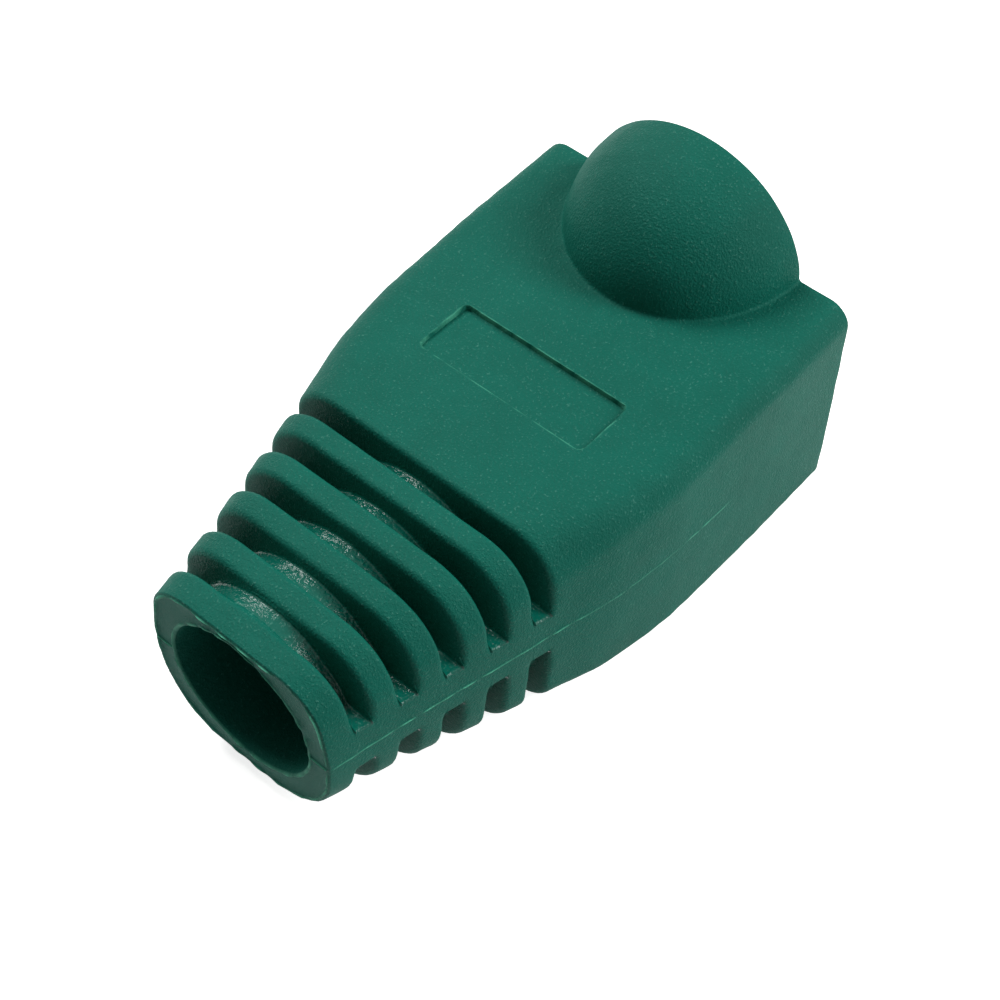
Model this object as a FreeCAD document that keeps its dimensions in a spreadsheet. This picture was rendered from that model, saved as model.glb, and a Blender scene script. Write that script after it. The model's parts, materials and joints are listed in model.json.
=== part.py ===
import FreeCAD, Part
import math
import os
import re
import Sketcher

# RJ45 strain relief boot: one injection moulding in soft PVC, slipped over the cable and
# then over the back of an 8P8C plug.
# The long axis is X: the cable leaves at the low end and the plug goes in at the high end.
# Z is up, and the boot lies on its underside. All lengths are in millimetres.

# Each row is an alias, its value and what it measures.
# Heights are counted from the parting plane of the mould, half way up the side spines.
SIZES = [
    ("boot_length", 24.6, "neck mouth to plug mouth"),

    ("plug_width", 11.7, "width of the plug body that the boot grips"),
    ("plug_height", 6.6, "height of the plug body without its latch"),
    ("plug_depth", 12.4, "how far the plug body goes in"),
    ("plug_clearance", 0.1, "total play of the plug in its socket"),
    ("socket_rise", 0.05, "middle of the socket over the parting plane"),
    ("socket_corner", 0.5, "corner radius of the socket"),
    ("side_wall", 1.2, "wall beside the plug at the mouth"),
    ("roof_wall", 1.45, "wall over the plug at the mouth"),
    ("floor_wall", 1.45, "wall under the plug"),
    ("sole_skim", 0.04, "swell of the skin that the flat sole cuts off"),
    ("mouth_corner", 0.95, "outer corner radius at the plug mouth"),
    ("mouth_bow", 200.0, "radius of the bowed sides at the plug mouth"),

    ("cable_diameter", 6.2, "cable sheath"),
    ("cable_clearance", 0.15, "total play of the cable in its bore"),
    ("tube_wall", 0.5, "wall of the round tube that the slots lay bare"),
    ("neck_cheek", 0.93, "wall beside the cable at the neck mouth"),
    ("neck_lip", 0.4, "wall over the cable at the neck mouth"),
    ("neck_sill", 0.85, "wall under the cable at the neck mouth"),
    ("neck_corner", 1.9, "outer corner radius at the neck mouth"),
    ("neck_bow", 10.0, "radius of the bowed sides at the neck mouth"),

    ("slot_first", 1.17, "neck mouth to the first slot"),
    ("slot_width", 0.76, "width of a slot"),
    ("slot_pitch", 1.79, "slot to slot"),
    ("slot_count", 5, "slots above, and as many below"),
    ("spine_above", 1.2, "height of the side spines over the parting plane"),
    ("spine_below", 0.98, "depth of the side spines under the parting plane"),

    ("rib_station", 4.6, "neck mouth to the middle of the ribs"),
    ("rib_width", 10.24, "width there"),
    ("rib_top", 4.24, "top there"),
    ("rib_bottom", 4.4, "underside there"),
    ("rib_corner", 2.3, "corner radius there"),
    ("rib_bow", 20.0, "radius of the bowed sides there"),

    ("shoulder_step", 0.3, "last slot to the section that starts the body"),
    ("shoulder_width", 12.54, "width of that section"),
    ("shoulder_top", 4.42, "top of that section"),
    ("shoulder_corner", 1.5, "corner radius of that section"),
    ("shoulder_bow", 45.0, "radius of the bowed sides there"),

    ("flank_station", 12.2, "neck mouth to the flank, where the sides bend into the taper"),
    ("flank_width", 13.6, "width there"),
    ("flank_top", 4.42, "top there"),
    ("flank_corner", 1.3, "corner radius there"),
    ("flank_bow", 70.0, "radius of the bowed sides there"),

    ("belly_station", 15.4, "neck mouth to the full body"),
    ("belly_width", 14.28, "width there"),
    ("belly_top", 4.48, "top there"),
    ("belly_corner", 1.15, "corner radius there"),
    ("belly_bow", 120.0, "radius of the bowed sides there"),

    ("grip_station", 20.0, "neck mouth to the widest stretch, round the plug"),
    ("grip_width", 14.44, "width there"),
    ("grip_top", 4.67, "top there"),
    ("grip_corner", 1.02, "corner radius there"),
    ("grip_bow", 180.0, "radius of the bowed sides there"),

    ("recess_shift", 0.93, "full body back to the middle of the bare recess"),
    ("recess_length", 2.64, "recess along the boot"),
    ("recess_width", 7.6, "recess across the boot"),
    ("recess_depth", 0.2, "depth of the recess under the roof of the full body"),
    ("recess_corner", 0.35, "corner radius of the recess"),

    ("dome_back", 0.5, "plug mouth to the axis of the latch dome"),
    ("dome_radius", 4.7, "outer radius of the ball that makes the dome"),
    ("dome_sink", 0.55, "middle of that ball under the roof at the plug mouth"),
    ("dome_wall", 0.9, "wall of the dome"),
    ("dome_fillet", 0.35, "fillet at the foot of the dome"),

    ("funnel_length", 2.2, "taper from the socket down to the cable bore"),
    ("funnel_step", 1.6, "how much wider than the bore the funnel starts, each side"),
]
ALIASES = [alias for alias, number, meaning in SIZES]

# Worked out from the sizes above, as expressions
socket_half_width = "((plug_width + plug_clearance) / 2)"
socket_top = "((plug_height + plug_clearance) / 2 + socket_rise)"
socket_bottom = "((plug_height + plug_clearance) / 2 - socket_rise)"
socket_end = "(boot_length - plug_depth)"
bore_radius = "((cable_diameter + cable_clearance) / 2)"
tube_radius = f"({bore_radius} + tube_wall)"
neck_half_width = f"({bore_radius} + neck_cheek)"
neck_end = "(slot_first + slot_pitch * (slot_count - 1) + slot_width)"
mouth_half_width = f"({socket_half_width} + side_wall)"
mouth_top = f"({socket_top} + roof_wall)"
underside = f"({socket_bottom} + floor_wall)"
swell = f"({underside} + sole_skim)"
dome_middle = f"({mouth_top} - dome_sink)"
dome_axis = "(boot_length - dome_back)"

doc = FreeCAD.newDocument("strain_relief_boot")
sheet = doc.addObject("Spreadsheet::Sheet", "Sizes")
for row, (alias, number, meaning) in enumerate(SIZES, start=1):
    sheet.set(f"A{row}", alias)
    sheet.set(f"B{row}", str(number))
    sheet.set(f"C{row}", meaning)
    sheet.setAlias(f"B{row}", alias)
doc.recompute()

boot = doc.addObject("PartDesign::Body", "boot_moulding")
boot.Label = "boot_moulding"


def sized(text):
    """The expression with every alias read from the sheet."""
    return re.sub(r"\b(" + "|".join(ALIASES) + r")\b", r"Sizes.\1", text)


def size(text):
    """The number that an expression stands for."""
    return float(sheet.evalExpression(sized(text)))


def bind(item, **expressions):
    """Bind properties of a feature to expressions of the sheet."""
    for name, text in expressions.items():
        item.setExpression(name.replace("__", "."), sized(text))


def plane(role):
    """One of the body's own origin planes."""
    return next(item for item in boot.Origin.OriginFeatures if item.Role == role)


def new_sketch(name, role, offset="0"):
    """A sketch on an origin plane, moved along the plane's normal."""
    sketch = boot.newObject("Sketcher::SketchObject", name)
    sketch.AttachmentSupport = [(plane(role), "")]
    sketch.MapMode = "FlatFace"
    sketch.AttachmentOffset = FreeCAD.Placement(FreeCAD.Vector(0, 0, size(offset)), FreeCAD.Rotation())
    bind(sketch, AttachmentOffset__Base__z=offset)
    return sketch


def point(across, up):
    return FreeCAD.Vector(across, up, 0)


def arc(across, up, radius, start, end):
    """An arc about a centre, counter-clockwise between two angles."""
    circle = Part.Circle(point(across, up), FreeCAD.Vector(0, 0, 1), radius)
    return Part.ArcOfCircle(circle, start, end)


def dimension(sketch, name, text, *constraint):
    """A named dimension of a sketch that follows the sheet."""
    index = sketch.addConstraint(Sketcher.Constraint(*constraint, size(text)))
    sketch.renameConstraint(index, name)
    sketch.setExpression(f"Constraints.{name}", sized(text))


def relate(sketch, *constraints):
    for constraint in constraints:
        sketch.addConstraint(Sketcher.Constraint(*constraint))


ORIGIN = (-1, 1)
ACROSS = -1
UPWARD = -2
FIRST, LAST, CENTRE = 1, 2, 3


def bowed_section(name, station, half_width, top, bottom, corner, bow):
    """Outer section of the boot: flat top and bottom, round corners, bowed sides that
    are widest on the parting plane. It runs counter-clockwise from the bottom edge."""
    half, high, low, round_, arch = (size(text) for text in (half_width, top, bottom, corner, bow))
    turn_high = math.asin((high - round_) / (arch - round_))
    turn_low = math.asin((low - round_) / (arch - round_))
    flat_high = half - arch + (arch - round_) * math.cos(turn_high)
    flat_low = half - arch + (arch - round_) * math.cos(turn_low)
    straight = math.pi
    quarter = math.pi / 2
    sketch = new_sketch(name, "YZ_Plane", station)
    sketch.addGeometry([
        Part.LineSegment(point(-flat_low, -low), point(flat_low, -low)),
        arc(flat_low, round_ - low, round_, -quarter, -turn_low),
        arc(half - arch, 0, arch, -turn_low, turn_high),
        arc(flat_high, high - round_, round_, turn_high, quarter),
        Part.LineSegment(point(flat_high, high), point(-flat_high, high)),
        arc(-flat_high, high - round_, round_, quarter, straight - turn_high),
        arc(arch - half, 0, arch, straight - turn_high, straight + turn_low),
        arc(-flat_low, round_ - low, round_, straight + turn_low, straight + quarter),
    ])
    for edge in range(8):
        relate(sketch, ("Tangent", edge, LAST, (edge + 1) % 8, FIRST))
    relate(sketch, ("Horizontal", 0), ("Horizontal", 4), ("Equal", 2, 6), ("Equal", 3, 5), ("Equal", 1, 7),
           ("PointOnObject", 2, CENTRE, ACROSS), ("Symmetric", 2, CENTRE, 6, CENTRE, UPWARD))
    dimension(sketch, "top", top, "DistanceY", *ORIGIN, 4, FIRST)
    dimension(sketch, "bottom", bottom, "DistanceY", 0, FIRST, *ORIGIN)
    dimension(sketch, "bow_centre", f"{bow} - {half_width}", "DistanceX", 2, CENTRE, *ORIGIN)
    dimension(sketch, "bow", bow, "Radius", 2)
    dimension(sketch, "corner_above", corner, "Radius", 3)
    dimension(sketch, "corner_below", corner, "Radius", 1)
    return sketch


def rounded_rectangle(name, role, offset, half_across, top, bottom, corner):
    """A rectangle with round corners, centred across and placed by its top and bottom."""
    half, high, low, round_ = (size(text) for text in (half_across, top, bottom, corner))
    side = half - round_
    above = high - round_
    below = round_ - low
    quarter = math.pi / 2
    sketch = new_sketch(name, role, offset)
    sketch.addGeometry([
        Part.LineSegment(point(-side, -low), point(side, -low)),
        arc(side, below, round_, -quarter, 0),
        Part.LineSegment(point(half, below), point(half, above)),
        arc(side, above, round_, 0, quarter),
        Part.LineSegment(point(side, high), point(-side, high)),
        arc(-side, above, round_, quarter, 2 * quarter),
        Part.LineSegment(point(-half, above), point(-half, below)),
        arc(-side, below, round_, 2 * quarter, 3 * quarter),
    ])
    for edge in range(8):
        relate(sketch, ("Tangent", edge, LAST, (edge + 1) % 8, FIRST))
    relate(sketch, ("Horizontal", 0), ("Vertical", 2), ("Horizontal", 4), ("Vertical", 6),
           ("Equal", 1, 3), ("Equal", 3, 5), ("Equal", 5, 7))
    dimension(sketch, "top", top, "DistanceY", *ORIGIN, 4, FIRST)
    dimension(sketch, "bottom", bottom, "DistanceY", 0, FIRST, *ORIGIN)
    dimension(sketch, "right", half_across, "DistanceX", *ORIGIN, 2, FIRST)
    dimension(sketch, "left", half_across, "DistanceX", 6, FIRST, *ORIGIN)
    dimension(sketch, "corner", corner, "Radius", 1)
    return sketch


def slot_profile(name, floor, reach, side):
    """What one slot takes away above (side 1) or below (side -1) the side spines: all that
    lies outside the round tube."""
    radius, level, wide, far = size(tube_radius), size(floor), size(f"{mouth_half_width} + 1"), size(reach)
    foot = math.sqrt(radius ** 2 - level ** 2)
    turn = math.asin(level / radius)
    sketch = new_sketch(name, "YZ_Plane", "slot_first")
    if side > 0:
        over_tube = arc(0, 0, radius, turn, math.pi - turn)
        ends = (FIRST, LAST)
    else:
        over_tube = arc(0, 0, radius, math.pi + turn, 2 * math.pi - turn)
        ends = (LAST, FIRST)
    level, far = side * level, side * far
    sketch.addGeometry([
        over_tube,
        Part.LineSegment(point(foot, level), point(wide, level)),
        Part.LineSegment(point(wide, level), point(wide, far)),
        Part.LineSegment(point(wide, far), point(-wide, far)),
        Part.LineSegment(point(-wide, far), point(-wide, level)),
        Part.LineSegment(point(-wide, level), point(-foot, level)),
    ])
    relate(sketch, ("Coincident", 0, ends[0], 1, FIRST), ("Coincident", 5, LAST, 0, ends[1]),
           ("Coincident", 0, CENTRE, *ORIGIN))
    for edge in range(1, 5):
        relate(sketch, ("Coincident", edge, LAST, edge + 1, FIRST))
    relate(sketch, ("Horizontal", 1), ("Vertical", 2), ("Horizontal", 3), ("Vertical", 4), ("Horizontal", 5),
           ("Symmetric", 2, FIRST, 4, LAST, UPWARD))
    dimension(sketch, "tube", tube_radius, "Radius", 0)
    dimension(sketch, "wide", f"{mouth_half_width} + 1", "DistanceX", *ORIGIN, 1, LAST)
    if side > 0:
        dimension(sketch, "floor", floor, "DistanceY", *ORIGIN, 1, FIRST)
        dimension(sketch, "far", reach, "DistanceY", *ORIGIN, 2, LAST)
    else:
        dimension(sketch, "floor", floor, "DistanceY", 1, FIRST, *ORIGIN)
        dimension(sketch, "far", reach, "DistanceY", 2, LAST, *ORIGIN)
    return sketch


def circle_sketch(name, offset, radius):
    sketch = new_sketch(name, "YZ_Plane", offset)
    sketch.addGeometry(Part.Circle(point(0, 0), FreeCAD.Vector(0, 0, 1), size(radius)))
    relate(sketch, ("Coincident", 0, CENTRE, *ORIGIN))
    dimension(sketch, "bore", radius, "Radius", 0)
    return sketch


def loft(name, sections, ruled=False):
    """A body carried through a row of sections, smoothly or straight from one to the next."""
    feature = boot.newObject("PartDesign::AdditiveLoft", name)
    feature.Profile = sections[0]
    feature.Sections = sections[1:]
    feature.Ruled = ruled
    doc.recompute()
    return feature


def pocket(name, sketch, depth, along_normal=False, slope="0"):
    """A cut from a sketch, against its normal or along it, straight or narrowing by the
    angle of its slope. It has to take something away."""
    before = boot.Shape.Volume
    feature = boot.newObject("PartDesign::Pocket", name)
    feature.Profile = sketch
    feature.Length = size(depth)
    feature.TaperAngle = -size(slope)
    bind(feature, Length=depth, TaperAngle=f"-{slope}")
    feature.Reversed = along_normal
    doc.recompute()
    if not boot.Shape.Volume < before - 1e-6:
        raise RuntimeError(f"{name} takes nothing away")
    return feature


def ball(kind, name, inset):
    """A ball about the middle of the latch dome."""
    feature = boot.newObject(f"PartDesign::{kind}Sphere", name)
    feature.AttachmentSupport = [(plane("XY_Plane"), "")]
    feature.MapMode = "FlatFace"
    bind(feature, AttachmentOffset__Base__x=dome_axis, AttachmentOffset__Base__z=dome_middle,
         Radius=f"dome_radius - {inset}")
    doc.recompute()
    return feature


# Outer skin: one loft that swells from the oval neck mouth to the full body, and a nearly
# straight one from there round the plug

def station(name, place):
    """A section of the skin between the two mouths, with its own width, top, corner and bow."""
    return bowed_section(f"{name}_section", place, f"({name}_width / 2)", f"{name}_top",
                         "rib_bottom" if name == "rib" else swell, f"{name}_corner", f"{name}_bow")


neck_sections = [
    bowed_section("neck_mouth_section", "0", neck_half_width, f"({bore_radius} + neck_lip)",
                  f"({bore_radius} + neck_sill)", "neck_corner", "neck_bow"),
    station("rib", "rib_station"),
    station("shoulder", f"({neck_end} + shoulder_step)"),
    station("flank", "flank_station"),
    station("belly", "belly_station"),
]
body_sections = [
    neck_sections[-1],
    station("grip", "grip_station"),
    bowed_section("plug_mouth_section", "boot_length", mouth_half_width, mouth_top, swell,
                  "mouth_corner", "mouth_bow"),
]
loft("neck_skin", neck_sections)
loft("body_skin", body_sections, ruled=True)
sole = rounded_rectangle("sole_sketch", "XY_Plane", f"(-{underside})", "boot_length", f"({mouth_half_width} + 1)",
                         f"({mouth_half_width} + 1)", "mouth_corner")
pocket("flat_sole", sole, "mouth_corner")


# Latch dome: a quarter of a ball on the roof at the plug mouth, cut flush with the mouth

ball("Additive", "latch_dome", "0")
trim = rounded_rectangle("mouth_trim_sketch", "YZ_Plane", "boot_length", f"({mouth_half_width} + 1)",
                         f"({dome_middle} + dome_radius + 1)", f"({underside} + 1)", "mouth_corner")
pocket("mouth_trim", trim, "dome_radius", along_normal=True)


def dome_foot_edges(shape):
    """Where the dome meets the roof: edges on the ball that stay behind the plug mouth."""
    found = []
    for number, edge in enumerate(shape.Edges, start=1):
        middle = edge.valueAt((edge.FirstParameter + edge.LastParameter) / 2)
        reach = math.hypot(middle.x - size(dome_axis), middle.y)
        on_ball = abs(reach - size("dome_radius")) < size("dome_fillet") / 2
        behind = edge.BoundBox.XMin < size("boot_length") - size("dome_wall")
        if on_ball and behind and middle.z > size("belly_top") - size("dome_fillet"):
            found.append(f"Edge{number}")
    return found


foot = boot.newObject("PartDesign::Fillet", "dome_foot_fillet")
foot.Base = (boot.getObject("mouth_trim"), dome_foot_edges(boot.getObject("mouth_trim").Shape))
bind(foot, Radius="dome_fillet")
doc.recompute()


# Bare recess in the roof

recess = rounded_rectangle("recess_sketch", "XY_Plane", "(belly_top - recess_depth)", "(recess_length / 2)",
                           "(recess_width / 2)", "(recess_width / 2)", "recess_corner")
bind(recess, AttachmentOffset__Base__x="belly_station - recess_shift")
doc.recompute()
pocket("roof_recess", recess, "recess_depth * 3", along_normal=True)


# Slots: ribs and a bare tube between them, joined by the two side spines

def slot_row(name, floor, reach, side):
    first = pocket(f"first_slot_{name}", slot_profile(f"slot_{name}_sketch", floor, reach, side),
                   "slot_width", along_normal=True)
    row = boot.newObject("PartDesign::LinearPattern", f"slots_{name}")
    row.Originals = [first]
    row.Direction = (first.Profile[0], ["N_Axis"])
    bind(row, Length="slot_pitch * (slot_count - 1)", Occurrences="slot_count")
    boot.Tip = row
    doc.recompute()


slot_row("above", "spine_above", "(shoulder_top + 1)", 1)
slot_row("below", "spine_below", f"({underside} + 1)", -1)


# Hollows: room for the latch, plug socket, funnel and cable bore

ball("Subtractive", "latch_room", "dome_wall")
socket_sketch = rounded_rectangle("socket_sketch", "YZ_Plane", "boot_length", socket_half_width,
                                  socket_top, socket_bottom, "socket_corner")
pocket("plug_socket", socket_sketch, "plug_depth")
funnel_sketch = rounded_rectangle("funnel_sketch", "YZ_Plane", socket_end, f"({bore_radius} + funnel_step)",
                                  bore_radius, bore_radius, "(funnel_step + socket_corner)")
pocket("funnel", funnel_sketch, "funnel_length", slope="atan(funnel_step / funnel_length)")
pocket("cable_bore", circle_sketch("bore_sketch", "0", bore_radius), socket_end, along_normal=True)
bind(boot, Placement__Base__x="-boot_length / 2", Placement__Base__z=underside)
doc.recompute()

for item in doc.Objects:
    if "Invalid" in item.State or "Error" in item.State:
        raise RuntimeError(f"{item.Name} failed: {item.State}")

shape = boot.Shape
if shape.isNull() or not shape.isValid() or len(shape.Solids) != 1:
    raise RuntimeError("the boot is not one valid solid")

os.makedirs("parts", exist_ok=True)
shape.exportStep("parts/boot_moulding.step")
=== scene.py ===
"""Strain relief boot for an RJ45 plug: one soft PVC moulding, lying on its flat underside.

The whole boot is one closed skin. Its outside is a row of sections carried from the oval
neck mouth to the plug mouth. Slots sink into it down to a round tube, a recess is pressed
into the roof, and half an egg stands on the roof at the plug mouth. Inside are the cable
bore, the funnel, the plug socket and the room for the latch.

Lengths are worked out in millimetres in the part's own frame: X from the neck mouth to the
plug mouth, Z counted from the parting plane. They are moved into the CAD frame, in metres,
when a mesh is written.
"""

import json
import math

import bmesh
import bpy
import numpy as np
from bpy.props import FloatProperty, FloatVectorProperty, PointerProperty
from mathutils import Matrix, Vector


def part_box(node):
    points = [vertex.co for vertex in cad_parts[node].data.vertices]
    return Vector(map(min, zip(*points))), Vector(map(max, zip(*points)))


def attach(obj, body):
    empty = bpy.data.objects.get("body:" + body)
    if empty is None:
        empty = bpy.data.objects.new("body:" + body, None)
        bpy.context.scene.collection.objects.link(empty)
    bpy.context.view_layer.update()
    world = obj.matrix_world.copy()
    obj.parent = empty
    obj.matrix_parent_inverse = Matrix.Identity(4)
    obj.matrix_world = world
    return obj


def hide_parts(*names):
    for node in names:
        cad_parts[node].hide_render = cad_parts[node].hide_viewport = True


bl_info = {
    "name": "Strain relief boot",
    "version": (1, 0, 0),
    "blender": (4, 5, 0),
    "location": "3D View > Sidebar > Boot",
    "description": "Builds a moulded strain relief boot and the stage that it is shown on",
    "category": "Add Mesh",
}

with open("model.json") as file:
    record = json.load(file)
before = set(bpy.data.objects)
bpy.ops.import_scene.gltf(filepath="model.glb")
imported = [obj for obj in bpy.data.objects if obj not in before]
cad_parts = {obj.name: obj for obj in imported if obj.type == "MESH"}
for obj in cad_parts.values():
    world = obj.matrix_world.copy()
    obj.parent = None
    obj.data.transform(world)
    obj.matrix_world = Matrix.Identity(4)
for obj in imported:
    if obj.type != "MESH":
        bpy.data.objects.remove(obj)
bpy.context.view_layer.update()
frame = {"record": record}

MM = 0.001
NODE = "boot_moulding"
LOW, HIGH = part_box(NODE)
BORE = next(mount for mount in frame["record"]["mounts"] if mount["name"] == "cable_bore")
BOOT_LENGTH = (HIGH.x - LOW.x) / MM
PARTING_HEIGHT = BORE["pos_m"][2] / MM
BORE_RADIUS = BORE["dims"]["r_mm"]
DOME_TOP = HIGH.z / MM - PARTING_HEIGHT

# Outer sections, from the neck mouth on. Each row holds the distance from the neck mouth, the
# half width, the top and the underside from the parting plane, the corner radius above and
# below, and the radius of the bowed sides.
STATIONS = np.array([
    (0.0, 4.16, 3.57, 3.99, 1.90, 3.18, 10.0),
    (3.07, 4.76, 4.00, 4.28, 2.30, 2.60, 15.0),
    (6.14, 5.46, 4.33, 4.57, 2.40, 1.90, 24.0),
    (9.40, 6.20, 4.42, 4.75, 2.00, 1.25, 45.0),
    (12.2, 6.84, 4.42, 4.75, 1.40, 0.68, 70.0),
    (15.4, 7.14, 4.48, 4.75, 1.15, 0.60, 200.0),
    (20.0, 7.19, 4.70, 4.75, 0.98, 0.68, 300.0),
    (BOOT_LENGTH, 7.17, 4.90, 4.75, 0.92, 0.84, 300.0),
])


def length(name, description, default_mm):
    """A length property that is given here in millimetres and kept in metres."""
    return FloatProperty(name=name, description=description, default=default_mm * MM, min=0.0,
                         unit="LENGTH", precision=5)


class BootSizes(bpy.types.PropertyGroup):
    """Sizes of the moulding's details."""

    slot_first: length("First slot", "Neck mouth to the first slot", 1.17)
    slot_width: length("Slot width", "Width of a slot at the skin", 0.76)
    slot_pitch: length("Slot pitch", "Slot to slot", 1.79)
    slot_draft: length("Slot draft", "How much a slot narrows on each side down to its floor", 0.05)
    rib_round: length("Rib rounding", "Rounding of the ribs' edges", 0.23)
    slot_foot: length("Slot foot", "Fillet at the foot of a slot's walls", 0.1)
    tube_radius: length("Tube radius", "Round tube that the slots lay bare", 3.56)
    tube_foot: length("Tube foot", "Fillet between the tube and the spines", 0.25)
    spine_above: length("Spine above", "Height of the side spines over the parting plane", 1.2)
    spine_below: length("Spine below", "Depth of the side spines under the parting plane", 0.98)
    spine_round: length("Spine rounding", "Rounding of the spines' edges", 0.12)
    mouth_round: length("Mouth rounding", "Rounding of both mouths' rims", 0.12)
    flash_height: length("Flash height", "Height of the flash along the parting plane", 0.03)
    flash_width: length("Flash width", "Half the width of that flash", 0.06)
    burr_height: length("Burr height", "Height of the thin burr at both mouths", 0.06)
    recess_near: length("Recess, near end", "Neck mouth to the near edge of the recess", 13.15)
    recess_far: length("Recess, far end", "Neck mouth to the far edge of the recess", 15.79)
    recess_side: length("Recess, half width", "Middle plane to the recess's sides", 3.8)
    recess_floor: length("Recess floor", "Floor of the recess over the parting plane", 4.28)
    recess_corner: length("Recess corner", "Corner radius of the recess", 0.3)
    recess_wall: length("Recess wall", "How far the recess's sloping wall reaches in", 0.03)
    dome_wide: length("Dome, half width", "Middle plane to the dome's side", 4.82)
    dome_long: length("Dome, length", "Plug mouth to the dome's back", 5.2)
    dome_tall: length("Dome, height", "Half height of the egg that makes the dome", 4.45)
    dome_wall: length("Dome wall", "Wall of the dome", 0.9)
    dome_fillet: length("Dome fillet", "Fillet at the foot of the dome", 0.14)
    room_edge: length("Latch room edge", "Rounding where the latch's room meets the socket", 0.15)
    socket_side: length("Socket, half width", "Middle plane to the plug socket's sides", 5.9)
    socket_top: length("Socket top", "Ceiling of the socket over the parting plane", 3.4)
    socket_bottom: length("Socket bottom", "Floor of the socket under the parting plane", 3.3)
    socket_corner: length("Socket corner", "Corner radius of the socket", 0.5)
    socket_end: length("Socket end", "Neck mouth to the end of the socket", 12.2)
    funnel_corner: length("Funnel corner", "Corner radius of the funnel's wide end", 1.5)
    funnel_side: length("Funnel, half width", "Middle plane to the funnel's wide end", 4.775)
    funnel_length: length("Funnel length", "Taper from the socket down to the cable bore", 2.2)


def sizes_in_mm():
    """The scene's sizes in millimetres, as plain attributes under the same names."""
    group = bpy.context.scene.boot_sizes
    sizes = {name: getattr(group, name) / MM for name in BootSizes.__annotations__}
    return type("Sizes", (), sizes)


SLOT_COUNT = 5

# Numbers of nodes along a section, on one side of the middle plane
SIDE_NODES, CORNER_NODES, SOLE_NODES = 7, 10, 10
LIP_NODES, LEDGE_NODES, FOOT_NODES = 5, 4, 5
SPINE_NODES = 13

# Where the roof's nodes lie across the full body, from the dome's border to the middle plane,
# close together at the walls of the recess
DOME_BORDER = 5.4
ROOF_NODES = np.array([
    5.4, 5.15, 4.9, 4.65, 4.4, 4.15, 3.95, 3.87, 3.82, 3.80, 3.785, 3.77, 3.755, 3.74, 3.72,
    3.66, 3.5, 3.3, 3.05, 2.8, 2.5, 2.2, 1.9, 1.6, 1.3, 1.0, 0.7, 0.35, 0.0])

# The least room in millimetres between the roof's corner and its first node, and between
# the dome's back and the first row of its border
ROOF_MARGIN = 0.04
DOME_MARGIN = 0.4

# Numbers of nodes along a quarter round and of rows on a rib between two slots
ARC_NODES, RIB_ROWS = 6, 3

# Rows down a slot's straight wall, as shares of its depth, and rows over the recess's ends,
# in millimetres inwards from its edge
WALL_DEPTHS = np.array([0.04, 0.15, 0.5, 0.85, 0.96, 1.0])
RECESS_STEPS = np.array([-0.12, -0.05, 0.0, 0.015, 0.03, 0.045, 0.06, 0.08, 0.14])

# Numbers of rows from the last slot to the recess, over the recess, and on to the dome
BODY_ROWS = 10, 8, 8

# The most of a slot's depth that the rounding of a rib or the fillet at a slot's foot takes
ROUND_SHARE = 0.45

# Numbers of rows over the dome's stretch of the roof, down the dome, along its fillet and
# from there to its border, and the two columns that the border runs along
DOME_ROWS, EGG_ROWS, FILLET_ROWS, SKIRT_ROWS = 24, 28, 7, 5
DOME_LEFT = SOLE_NODES + 2 * CORNER_NODES + 2 * SIDE_NODES + SPINE_NODES
DOME_RIGHT = DOME_LEFT + 2 * (len(ROOF_NODES) - 1)


def carried(x):
    """Section sizes at x. Each column of STATIONS is a cubic from row to row. Its slope at a
    row is the harmonic mean of the slopes on both sides, and nought where they turn, so the
    skin never swells beyond its rows."""
    place, rows = STATIONS[:, 0], STATIONS[:, 1:]
    slope = np.diff(rows, axis=0) / np.diff(place)[:, None]
    before, after = slope[:-1], slope[1:]
    turning = before * after <= 0
    mean = 2 * before * after / np.where(turning, 1.0, before + after)
    tangent = np.vstack([slope[:1], np.where(turning, 0.0, mean), slope[-1:]])
    span = np.clip(np.searchsorted(place, x, side="right") - 1, 0, len(place) - 2)
    step = np.diff(place)[span][:, None]
    t = (x - place[span])[:, None] / step
    return ((1 + 2 * t) * (1 - t) ** 2 * rows[span] + t * (1 - t) ** 2 * step * tangent[span]
            + t ** 2 * (3 - 2 * t) * rows[span + 1] + t ** 2 * (t - 1) * step * tangent[span + 1]).T


def stretch(start, end, count, last=False):
    """Evenly spaced values from start to end for each row, without the end unless asked for."""
    share = np.linspace(0, 1, count, endpoint=last)
    start, end = np.broadcast_arrays(np.atleast_1d(start), np.atleast_1d(end))
    return start[:, None] + (end - start)[:, None] * share


def around(centre_y, centre_z, radius, angle):
    """Points on circles, with the unit vectors that point away from their centres."""
    away = np.stack([np.cos(angle), np.sin(angle)], axis=-1)
    centre = np.broadcast_arrays(np.atleast_1d(centre_y), np.atleast_1d(centre_z))
    centre = np.stack(centre, axis=-1)
    return centre[:, None, :] + np.atleast_1d(radius)[:, None, None] * away, away


def flat_run(y, level):
    """Points on a level line, with upward normals."""
    z = np.broadcast_to(np.atleast_1d(level)[:, None], y.shape)
    points = np.stack([y, z], axis=-1)
    return points, np.broadcast_to([0.0, 1.0], points.shape)


def joined(*parts):
    """Several stretches of points and normals as one."""
    return tuple(np.concatenate(arrays, axis=1) for arrays in zip(*parts))


def outer_band(half, level, corner, bow, edge, spread):
    """From the spine's edge to the middle plane: the bowed side, the round corner that touches
    it and the flat, and then the flat itself. spread turns the half width of the flat into
    the places of its nodes."""
    turn = np.arcsin((level - corner) / (bow - corner))
    flat = half - bow + (bow - corner) * np.cos(turn)
    side = around(half - bow, 0.0, bow, stretch(np.arcsin(edge / bow), turn, SIDE_NODES))
    round_ = around(flat, level - corner, corner, stretch(turn, math.pi / 2, CORNER_NODES))
    return joined(side, round_, flat_run(spread(flat), level))


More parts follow.
